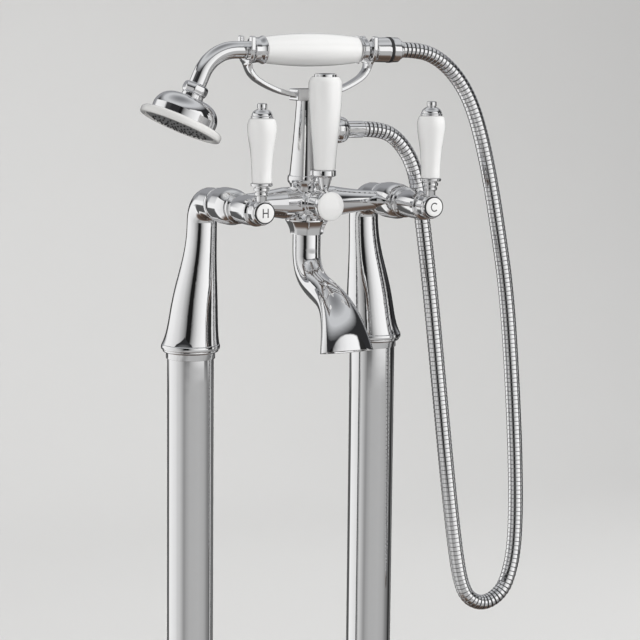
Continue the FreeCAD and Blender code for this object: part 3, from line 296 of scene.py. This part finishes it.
def turned(name, line, spot, axis, around=80):
    """A body of revolution; line holds radius and height in millimetres, from axis to axis."""
    side = axis.orthogonal().normalized()
    other = axis.cross(side)
    origin = Vector(spot)
    vertices, rings, faces = [], [], []
    for radius, height in line:
        count = around if radius > 1e-4 else 1
        rings.append((len(vertices), count))
        for step in range(count):
            angle = 2 * math.pi * step / around
            vertices.append(origin + axis * height * MM + radius * MM
                            * (side * math.cos(angle) + other * math.sin(angle)))
    for (low, low_count), (high, high_count) in zip(rings, rings[1:]):
        for step in range(around):
            follow = (step + 1) % around
            corners = [low + step % low_count, low + follow % low_count,
                       high + follow % high_count, high + step % high_count]
            faces.append(tuple(dict.fromkeys(corners)))
    mesh = bpy.data.meshes.new(name)
    mesh.from_pydata(vertices, [], [face for face in faces if len(face) > 2])
    mesh.shade_smooth()
    mesh.set_sharp_from_angle(angle=math.radians(32))
    return mesh


# ---------------------------------------------------------------- levers
def grip_line(foot, widest, top, length, swell):
    """Outline of a grip; swell holds shares of its growth up to widest, and of its length."""
    shape = [(foot - 0.9, 0), (foot - 0.25, 0.006), (foot, 0.02)]
    shape += [(foot + (widest - foot) * share, place) for share, place in swell]
    shape += [(top + 1.3, 0.985), (top + 0.3, 0.998), (top - 0.6, 1)]
    return [(0, 0)] + flowing([(radius, place * length) for radius, place in shape]) + [(0, length)]


SIDE_SWELL = ((0.03, 0.10), (0.07, 0.20), (0.27, 0.43), (0.50, 0.56), (0.74, 0.67), (0.95, 0.78),
              (1.0, 0.85), (0.92, 0.92), (0.76, 0.96))
MIDDLE_SWELL = ((0.06, 0.08), (0.14, 0.16), (0.37, 0.32), (0.68, 0.53), (0.90, 0.72), (0.98, 0.82),
                (1.0, 0.89), (0.95, 0.945), (0.80, 0.972))


def letter(name, strokes, spot, body, width=1.15, height=0.14):
    """Painted strokes, slightly raised, on a disc that faces the front."""
    vertices, faces = [], []
    for number, stroke in enumerate(strokes):
        base = len(vertices)
        line = [Vector(point) for point in stroke]
        lift = height + 0.01 * number
        for spot_number, point in enumerate(line):
            before = line[max(spot_number - 1, 0)]
            after = line[min(spot_number + 1, len(line) - 1)]
            way = (after - before).normalized()
            side = Vector((-way.y, way.x)) * width / 2
            if spot_number in (0, len(line) - 1):
                point = point + way * (width * 0.2 if spot_number else -width * 0.2)
            for share, up in ((1, 0), (0.8, lift), (-0.8, lift), (-1, 0)):
                place = point + side * share
                vertices.append((spot[0] + place.x * MM, spot[1] - up * MM, spot[2] + place.y * MM))
        for first in range(base, len(vertices) - 4, 4):
            for step in range(3):
                faces.append((first + step, first + step + 1, first + step + 5, first + step + 4))
        for first in (base, len(vertices) - 4):
            faces.append((first, first + 1, first + 2, first + 3))
    mesh = bpy.data.meshes.new(name)
    mesh.from_pydata(vertices, [], faces)
    add_piece(name, mesh, INK_AND_GAP_SHADE, body)


LETTER_H = (((-2.2, -3.5), (-2.2, 3.5)), ((2.2, -3.5), (2.2, 3.5)), ((-2.2, 0.1), (2.2, 0.1)))
LETTER_C = ([(3.1 * math.cos(math.radians(angle)), 3.4 * math.sin(math.radians(angle)))
             for angle in range(48, 313, 12)],)


SIDE_LEVER_X, SIDE_LEVER_Y, SIDE_DISC_Y = 0.0795, -0.118, -0.1242
MIDDLE_LEVER_Y, MIDDLE_DISC_Y = -0.076, -0.0878


def side_lever(side, sign, strokes):
    """Grip, stem, cap and lettered disc of the lever on one valve, and painted shade round the
    disc.
    """
    body = name = f"{side}_lever"
    x, y = sign * SIDE_LEVER_X, SIDE_LEVER_Y
    grip = turned(f"{name}_glaze", grip_line(8.1, 12.1, 9.4, 52.8, SIDE_SWELL),
                  (x, y, VALVE + 0.024), UP)
    add_piece(f"{name}_glaze", grip, CERAMIC, body, (f"{name}_grip",))
    stem = softened([(0, 6), (4.3, 6), (4.3, 13.4), (5.7, 14.2), (5.7, 16.4), (4.9, 16.8),
                     (4.9, 17.2), (6.5, 17.8), (6.5, 20.2), (5.4, 20.8), (5.6, 21.3), (8.9, 21.7),
                     (9.0, 23.9), (8.2, 24), (0, 24)], 0.3)
    add_piece(f"{name}_beads", turned(f"{name}_beads", stem, (x, y, VALVE), UP), CHROME, body,
              (f"{name}_stem",))
    cap = softened([(0, 0), (9.0, 0), (9.2, 0.5), (9.2, 1.7), (8.5, 2.2), (8.6, 2.8), (8.2, 4.2),
                    (7.2, 5.6), (5.6, 6.8), (3.9, 7.5), (3.3, 8.0), (4.1, 8.3), (4.1, 11.7),
                    (3.6, 12.2), (0, 12.2)], 0.45)
    add_piece(f"{name}_dome", turned(f"{name}_dome", cap, (x, y, VALVE + 0.0768), UP), CHROME,
              body, (f"{name}_cap",))
    disc = flowing([(8.0, 0), (8.05, 0.7), (7.6, 1.15), (6.8, 1.35), (4, 1.52)], 4) + [(0, 1.58)]
    add_piece(f"{name}_enamel", turned(f"{name}_enamel", disc, (x, SIDE_DISC_Y, VALVE), AHEAD),
              CERAMIC, body, (f"{name}_index",))
    # a dark ring of painted shade, in the gap between the disc and the chrome round it
    ring = softened([(7.8, 0), (8.95, 0), (8.95, 0.7), (8.2, 1.0), (7.8, 0.9)], 0.15)
    add_piece(f"{name}_gap_shade_ring", turned(f"{name}_gap_shade_ring", ring, (x, SIDE_DISC_Y, VALVE), AHEAD),
              INK_AND_GAP_SHADE, body)
    letter(f"{name}_letter", strokes, (x, SIDE_DISC_Y - 1.42 * MM, VALVE), body)


def middle_lever():
    """Grip, stem and plain disc of the lever in the middle."""
    body = name = "diverter_lever"
    grip = turned(f"{name}_glaze", grip_line(9.2, 14.3, 11.4, 78.8, MIDDLE_SWELL),
                  (0, MIDDLE_LEVER_Y, VALVE + 0.030), UP)
    add_piece(f"{name}_glaze", grip, CERAMIC, body, (f"{name}_grip",))
    disc = flowing([(12.2, 0), (12.35, 0.4), (12.0, 1.0), (10.6, 1.7), (7, 2.5), (3, 2.9)], 5)
    disc.append((0, 2.98))
    add_piece(f"{name}_enamel", turned(f"{name}_enamel", disc, (0, MIDDLE_DISC_Y, VALVE), AHEAD),
              CERAMIC, body, (f"{name}_index",))
    stem = softened([(0, 8), (3.4, 8), (3.4, 13.8), (4.6, 17.2), (5.9, 21.4), (6.7, 24.2),
                     (9.3, 24.9), (9.7, 25.3), (9.7, 29.6), (9.1, 30), (0, 30)], 0.4)
    add_piece(f"{name}_beads", turned(f"{name}_beads", stem, (0, MIDDLE_LEVER_Y, VALVE), UP),
              CHROME, body, (f"{name}_stem",))


for (side, sign), strokes in zip(SIDES, (LETTER_H, LETTER_C)):
    side_lever(side, sign, strokes)
middle_lever()


# ---------------------------------------------------------------- nuts
FLATS, CRISPNESS = 8, 46   # crispness of the corners between the flats


def nut(name, outline, spot, axis, body, node, around=160):
    """Flats with softened corners; outline holds half width, height and 1 where faceted."""
    side = axis.orthogonal().normalized()
    other = axis.cross(side)
    vertices = []
    for width, height, faceted in outline:
        for step in range(around):
            angle = 2 * math.pi * step / around
            spread = sum(max(math.cos(angle - 2 * math.pi / FLATS * flat), 0) ** CRISPNESS
                         for flat in range(FLATS))
            radius = width * (spread ** (-1 / CRISPNESS) if faceted else 1) * MM
            vertices.append(spot + axis * height * MM
                            + (side * math.cos(angle) + other * math.sin(angle)) * radius)
    mesh = bpy.data.meshes.new(name)
    mesh.from_pydata(vertices, [], ring_faces(len(outline), around, closed=True))
    mesh.shade_smooth()
    mesh.set_sharp_from_angle(angle=math.radians(24))
    add_piece(name, mesh, CHROME, body, (node,))


def spout_nut(levels=14):
    """Flats that flare upwards in a hollow curve, from the spout to the mixer's body."""
    flare = [(13.5 + 4.0 * (level / levels) ** 1.9, 0.25 + 11.4 * level / levels, 1)
             for level in range(levels + 1)]
    outline = [(12.35, 0, 0), (13.1, 0, 0)] + flare + [(17.2, 12, 1), (12.35, 12, 0)]
    nut("spout_flats", outline, Vector((0, FRONT, VALVE - 0.0275)), UP, "mixer", "spout_nut")


def rose_nut():
    """Bulging flats over a narrow collar, where the arm meets the bell."""
    bulge = flowing([(8.4, 9.6), (9.5, 10.6), (10.1, 12.6), (10.2, 14.8), (9.9, 16.8),
                     (9.1, 18.4)], 3)
    outline = [(7.4, 9.5, 0), (8.2, 9.5, 0)] + [(width, height, 1) for width, height in bulge]
    outline += [(8.7, 19.0, 0), (9.3, 19.5, 0), (9.3, 20.5, 0), (7.4, 20.5, 0)]
    nut("rose_flats", outline, ARM_END, ROSE_WAY, "handset", "rose_nut")


# ---------------------------------------------------------------- rose
ARM_TURN, ARM_BEND = math.radians(65.5), 0.034   # how far the arm bends down, and its radius
ROSE_WAY = Vector((-math.cos(ARM_TURN), 0, -math.sin(ARM_TURN)))
ARM_REACH, ARM_RISE = -0.069, 0.1305   # where the bend starts, and its height over the valves
ARM_END = Vector((ARM_REACH - ARM_BEND * math.sin(ARM_TURN), FRONT,
                  VALVE + ARM_RISE - ARM_BEND + ARM_BEND * math.cos(ARM_TURN)))
RIM_FOOT, FACE_FOOT = 0.0419, 0.0469   # from the arm's end
JET_RINGS = ((5.5, 6), (11.5, 12), (17.5, 18), (23.6, 24))   # radius and number of jets
JET = ((1.0, -0.3), (0.95, 0.25), (0.7, 0.65), (0.35, 0.75))   # radius and height up the jet


def jets(seat, around=10):
    """Rings of small rubber jets that stand on the domed face."""
    side = Vector((0, 1, 0))
    other = ROSE_WAY.cross(side)
    vertices, faces = [], []
    for circle, count in JET_RINGS:
        lift = 3.3 - 1.35 * (circle / 25) ** 2
        for number in range(count):
            angle = 2 * math.pi * number / count
            middle = (side * math.cos(angle) + other * math.sin(angle)) * circle
            base = len(vertices)
            for radius, height in JET:
                for step in range(around):
                    turn = 2 * math.pi * step / around
                    spot = middle + (side * math.cos(turn) + other * math.sin(turn)) * radius
                    vertices.append(seat + (spot + ROSE_WAY * (lift + height)) * MM)
            faces += [tuple(base + corner for corner in face)
                      for face in ring_faces(len(JET), around)]
            faces.append(tuple(range(len(vertices) - around, len(vertices))))
    mesh = bpy.data.meshes.new("rose_jets")
    mesh.from_pydata(vertices, [], faces)
    mesh.shade_smooth()
    add_piece("rose_jets", mesh, RUBBER, "handset")


def rose():
    """Domed face with its jets, and the rim round it."""
    seat = ARM_END + ROSE_WAY * FACE_FOOT
    dome = flowing([(31.5, -0.6), (31.2, 0.2), (30.2, 1.0), (26, 1.9), (18, 2.7), (9, 3.2)], 5)
    line = softened([(0, -0.6), (31.5, -0.6)], 0.1) + dome + [(0, 3.4)]
    add_piece("rose_face", turned("rose_face", line, seat, ROSE_WAY, 120), CHROME, "handset",
              ("rose_plate",))
    line = softened([(28, 0), (33.4, 0), (35.1, 1.0), (35.8, 2.4), (35.8, 5.8), (34.9, 6.9),
                     (32.2, 7.0), (31.6, 6.2), (31.6, 4.4), (28, 4.4), (28, 0.1)], 0.7)
    foot = ARM_END + ROSE_WAY * RIM_FOOT
    add_piece("rose_band", turned("rose_band", line, foot, ROSE_WAY, 120), RIM, "handset",
              ("rose_rim",))
    jets(seat)


spout_nut()
rose_nut()
rose()


# ---------------------------------------------------------------- hose
HOSE_POINTS = (
    (53, 62), (71, 62), (89, 53), (105, 31), (112, 0), (119, -45), (127, -103), (137, -185),
    (147.5, -268), (156, -326), (162.5, -357), (171.5, -372), (187.5, -378), (203.5, -371),
    (213, -357), (220, -325), (219.5, -262), (213, -170), (205, -90), (194, -30), (184, 18),
    (173.5, 57), (162.5, 85.5), (149, 106), (131, 122), (110, 130.5), (90, 130.5),
)


def spline_line(name, points):
    """The smooth line that a NURBS spline draws through its control points."""
    curve = bpy.data.curves.new(name, "CURVE")
    curve.dimensions = "3D"
    curve.resolution_u = 24
    spline = curve.splines.new("NURBS")
    spline.points.add(len(points) - 1)
    for spot, point in zip(spline.points, points):
        spot.co = (*point, 1)
    spline.order_u = 3
    spline.use_endpoint_u = True
    holder = bpy.data.objects.new(name, curve)
    scene.collection.objects.link(holder)
    line = bpy.data.meshes.new_from_object(holder)
    spots = [vertex.co.copy() for vertex in line.vertices]
    bpy.data.objects.remove(holder)
    bpy.data.meshes.remove(line)
    bpy.data.curves.remove(curve)
    return spots


def measured(spots):
    """Distance along the line up to each of its spots."""
    reach = [0.0]
    for first, second in zip(spots, spots[1:]):
        reach.append(reach[-1] + (second - first).length)
    return reach


def at_distance(spots, reach, distance, hint):
    """Spot and direction at a distance along the line; hint is the stretch to look from."""
    while hint < len(spots) - 2 and reach[hint + 1] < distance:
        hint += 1
    share = (distance - reach[hint]) / max(reach[hint + 1] - reach[hint], 1e-9)
    first = spots[max(hint - 1, 0)]
    last = spots[min(hint + 2, len(spots) - 1)]
    way = (spots[hint + 1] - spots[hint]).normalized() * 2 + (last - first).normalized()
    return spots[hint].lerp(spots[hint + 1], min(max(share, 0), 1)), way.normalized(), hint


RIB_LENGTH = 4.05 * MM
# one rib: share of its length, share of the radius; the bands of faces that lie in its grooves,
# which are painted dark as shade
RIB = ((0.0, 0.93), (0.035, 0.93), (0.05, 0.985), (0.075, 1.0), (0.10, 1.0), (0.5, 1.0),
       (0.90, 1.0), (0.925, 1.0), (0.95, 0.985), (0.965, 0.93))
SHADED_GROOVE_BANDS = (0, 1, 8, 9)
GAPE = 2.0     # added width of a groove where the hose runs level, in its own widths
LEAN = 0.062   # ribs grow towards their lower end, as a share of the radius
STEEP = 2.5    # how soon a slope counts as falling


def rib_rings(spots, reach, radius, around):
    """Rings of vertices along the line: ribs whose grooves are wider where it runs level."""
    length = reach[-1]
    ribs = round(length / RIB_LENGTH)
    stations = [(rib, share, size) for rib in range(ribs) for share, size in RIB]
    stations.append((ribs, 0.0, RIB[0][1]))
    across = Vector((0, 1, 0))
    way, hint = Vector((-1, 0, 0)), 0
    vertices = []
    for rib, share, size in stations:
        gape = 1.0 + GAPE * (1 - way.z ** 2)
        if share < 0.3:
            share *= gape
        elif share > 0.7:
            share = 1 - (1 - share) * gape
        place = min((rib + share) * (length / ribs), length)
        centre, way, hint = at_distance(spots, reach, place, hint)
        fall = min(max(-way.z * STEEP, -1), 1)
        size -= LEAN * (0.5 - fall * (share - 0.5))
        other = way.cross(across).normalized()
        for step in range(around):
            angle = 2 * math.pi * step / around
            vertices.append(centre + (across * math.cos(angle) + other * math.sin(angle))
                            * radius * size)
    return vertices


def ribbed_hose(radius=7 * MM, around=48):
    """The hose from the branch on the post to the hand shower."""
    points = [(x * MM, FRONT, VALVE + z * MM) for x, z in HOSE_POINTS]
    spots = spline_line("hose_line", points)
    reach = measured(spots)
    vertices = rib_rings(spots, reach, radius, around)
    faces = ring_faces(len(vertices) // around, around)
    faces.append(tuple(range(around)))
    faces.append(tuple(range(len(vertices) - 1, len(vertices) - 1 - around, -1)))
    mesh = bpy.data.meshes.new("hose_ribs")
    mesh.from_pydata(vertices, [], faces)
    mesh.update()
    mesh.materials.append(HOSE)
    mesh.materials.append(GROOVE_SHADE)
    for polygon in mesh.polygons:
        polygon.use_smooth = len(polygon.vertices) == 4
        # faces in the grooves get the dark painted shade
        polygon.material_index = polygon.index // around % len(RIB) in SHADED_GROOVE_BANDS
    piece = bpy.data.objects.new("hose_ribs", mesh)
    scene.collection.objects.link(piece)
    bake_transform(piece)
    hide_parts("hose")


ribbed_hose()


# ---------------------------------------------------------------- floor, backdrop and light
FLOOR_TONES = ((0.66, 0.657, 0.65, 1), (0.69, 0.687, 0.68, 1))
MIRRORED_REACH = (0.15, 0.45)   # metres from a mirror over which the floor fades out of it
LIT_SPOT = (0, 0, 0.75)


def between(n, value, start, end):
    """0 at the start and before it, 1 at the end and past it."""
    return n.add("ShaderNodeMapRange", {"Value": value, "From Min": start,
                                        "From Max": end}).outputs[0]


def stage():
    """Curved floor and backdrop. Mirrors see the room beyond it, but for the floor close by."""
    depth, half, top, bend = 3.2, 40.0, 9.0, 1.2
    line = [(-half, 0.0), (depth - bend, 0.0)]
    line += [(depth - bend + bend * math.sin(math.radians(angle)),
              bend - bend * math.cos(math.radians(angle))) for angle in range(6, 91, 6)]
    line.append((depth, top))
    vertices = [(x, y, z) for y, z in line for x in (-half, half)]
    faces = [(2 * i, 2 * i + 1, 2 * i + 3, 2 * i + 2) for i in range(len(line) - 1)]
    mesh = bpy.data.meshes.new("floor")
    mesh.from_pydata(vertices, [], faces)
    for polygon in mesh.polygons:
        polygon.use_smooth = True
    material = bpy.data.materials.new("floor")
    material.use_nodes = True
    material.node_tree.nodes.clear()
    n = Nodes(material.node_tree)
    place = n.add("ShaderNodeTexCoord").outputs["Object"]
    cloud = n.noise(place, 1.4, 3, 0.5).outputs["Fac"]
    paint = n.mix(cloud, *FLOOR_TONES)
    shader = n.add("ShaderNodeBsdfPrincipled", {"Base Color": paint, "Roughness": 0.75})
    ray = n.add("ShaderNodeLightPath")
    far = between(n, ray.outputs["Ray Length"], *MIRRORED_REACH)
    clear = n.add("ShaderNodeBsdfTransparent")
    both = n.add("ShaderNodeMixShader", {0: n.math("MULTIPLY", far, ray.outputs["Is Glossy Ray"]),
                                         1: shader.outputs[0], 2: clear.outputs[0]})
    n.add("ShaderNodeOutputMaterial", {"Surface": both.outputs[0]})
    mesh.materials.append(material)
    floor = bpy.data.objects.new("floor", mesh)
    scene.collection.objects.link(floor)


def lamp(name, spot, size, power):
    """A soft lamp that looks at the mixer."""
    data = bpy.data.lights.new(name, "AREA")
    data.shape = "RECTANGLE"
    data.size, data.size_y = size
    data.energy = power
    light = bpy.data.objects.new(name, data)
    light.location = spot
    light.rotation_mode = "QUATERNION"
    light.rotation_quaternion = (Vector(LIT_SPOT) - Vector(spot)).to_track_quat("-Z", "Y")
    light.visible_glossy = False
    scene.collection.objects.link(light)


# The studio that the plating mirrors, as tones by the angle round the object in degrees: soft
# boxes with a gap between them at eye height, and below them walls, lit from the left.
MIDDLE = (-0.461, -0.887, 0)     # towards the camera, angle 0
SIDEWAYS = (0.887, -0.461, 0)    # angle 90
BOX_ANGLES, BOX_TOP, BOX_TOP_FADE = (-86, 30), 31, 0.03
BOX_FOOT, WALL_FOOT = (-9.8, -8.2), (-50, -38)   # each edge fades between two heights in degrees
GROUND_FADE, CEILING_FOOT, CEILING_FADE = (-85, -52), (31, 46), (56, 86)
REAR_FOOT, REAR_EDGE = (2, 7), (-0.55, -0.78)
GROUND_TONES = ((0.045, 0.036, 0.031, 1), (0.13, 0.094, 0.075, 1))
CEILING_TONES = ((0.60, 0.61, 0.625, 1), (0.24, 0.245, 0.255, 1))
OVER_TONE, REAR_TONE = (0.03, 0.03, 0.032, 1), (0.31, 0.315, 0.33, 1)
PANELS = ((-180, 0.08), (-142, 0.05), (-134, 0.95), (-95, 0.90), (-60, 0.68), (-40, 0.42),
          (-28, 0.22), (-23, 0.012), (-5, 0.012), (1, 0.24), (10, 0.48), (25, 0.76), (45, 0.95),
          (70, 1.04), (74, 0.9), (77, 0.03), (96, 0.02), (99, 0.85), (106, 0.85), (109, 0.008),
          (144, 0.02), (152, 0.30), (168, 0.12), (180, 0.08))
WALLS = ((-180, 0.12), (-136, 0.10), (-129, 0.12), (-124, 0.98), (-118, 0.92), (-95, 0.86),
         (-75, 0.78), (-63, 0.64), (-52, 0.60), (-41, 0.48), (-31, 0.33), (-26, 0.30), (-16, 0.38),
         (0, 0.45), (45, 0.47), (72, 0.43), (84, 0.36), (95, 0.24), (105, 0.20), (115, 0.10),
         (122, 0.02), (134, 0.03), (141, 0.3), (146, 0.03), (156, 0.25), (164, 0.04), (180, 0.08))


def tone_ring(n, turn, table):
    """Grey by the share of a full turn, from a table of degrees and tones."""
    ramp = n.add("ShaderNodeValToRGB", {0: turn})
    stops = ramp.color_ramp.elements
    for spot, (angle, tone) in enumerate(table):
        place = (angle + 180) / 360
        stop = stops[spot] if spot < 2 else stops.new(place)
        stop.position = place
        stop.color = (tone, tone, tone, 1)
    return ramp.outputs[0]


def rise(n, height, low, high):
    """0 below the angle low, 1 above the angle high, in degrees over the horizon."""
    return between(n, height, math.sin(math.radians(low)), math.sin(math.radians(high)))


def towards(n, way, angle):
    """How far the direction agrees with the one at this angle round the object."""
    out = (Vector(MIDDLE) * math.cos(math.radians(angle))
           + Vector(SIDEWAYS) * math.sin(math.radians(angle)))
    return n.add("ShaderNodeVectorMath", {0: way, 1: tuple(out)},
                 operation="DOT_PRODUCT").outputs["Value"]


def studio(n):
    """The tones of the mirrored studio, by direction."""
    way = n.add("ShaderNodeTexCoord").outputs["Generated"]
    height = n.add("ShaderNodeSeparateXYZ", {0: way}).outputs["Z"]
    ahead, aside = towards(n, way, 0), towards(n, way, 90)
    turn = n.math("ADD", n.math("DIVIDE", n.math("ARCTAN2", aside, ahead), 2 * math.pi), 0.5)
    facing = n.math("MAXIMUM", *(towards(n, way, angle) for angle in BOX_ANGLES))
    top = n.math("MULTIPLY", facing, math.tan(math.radians(BOX_TOP)))
    over = between(n, n.math("SUBTRACT", height, top), 0, BOX_TOP_FADE)
    boxes = n.mix(over, tone_ring(n, turn, PANELS), OVER_TONE)
    rear = n.math("MULTIPLY", between(n, ahead, *REAR_EDGE), rise(n, height, *REAR_FOOT))
    ground = n.mix(rise(n, height, *GROUND_FADE), *GROUND_TONES)
    ceiling = n.mix(rise(n, height, *CEILING_FADE), *CEILING_TONES)
    shade = n.mix(rise(n, height, *WALL_FOOT), ground, tone_ring(n, turn, WALLS))
    shade = n.mix(rise(n, height, *BOX_FOOT), shade, boxes)
    shade = n.mix(rear, shade, REAR_TONE)
    return n.mix(rise(n, height, *CEILING_FOOT), shade, ceiling)


def sky():
    """Even light from all round; the plating mirrors the studio instead."""
    world = bpy.data.worlds.new("room")
    scene.world = world
    world.use_nodes = True
    world.node_tree.nodes.clear()
    n = Nodes(world.node_tree)
    plain = n.add("ShaderNodeBackground", {"Color": (0.8, 0.8, 0.8, 1), "Strength": 0.6})
    seen = n.add("ShaderNodeBackground", {"Color": studio(n), "Strength": 1.0})
    mirrored = n.add("ShaderNodeLightPath").outputs["Is Glossy Ray"]
    both = n.add("ShaderNodeMixShader", {0: mirrored, 1: plain.outputs[0], 2: seen.outputs[0]})
    n.add("ShaderNodeOutputWorld", {"Surface": both.outputs[0]})


stage()
lamp("key", (-2.2, -2.8, 3.2), (1.6, 1.6), 62)
lamp("fill", (2.9, -1.3, 1.9), (1.2, 2.0), 78)
lamp("back", (0.6, 2.3, 3.0), (2.4, 0.8), 40)
sky()
scene.view_settings.view_transform = "Standard"
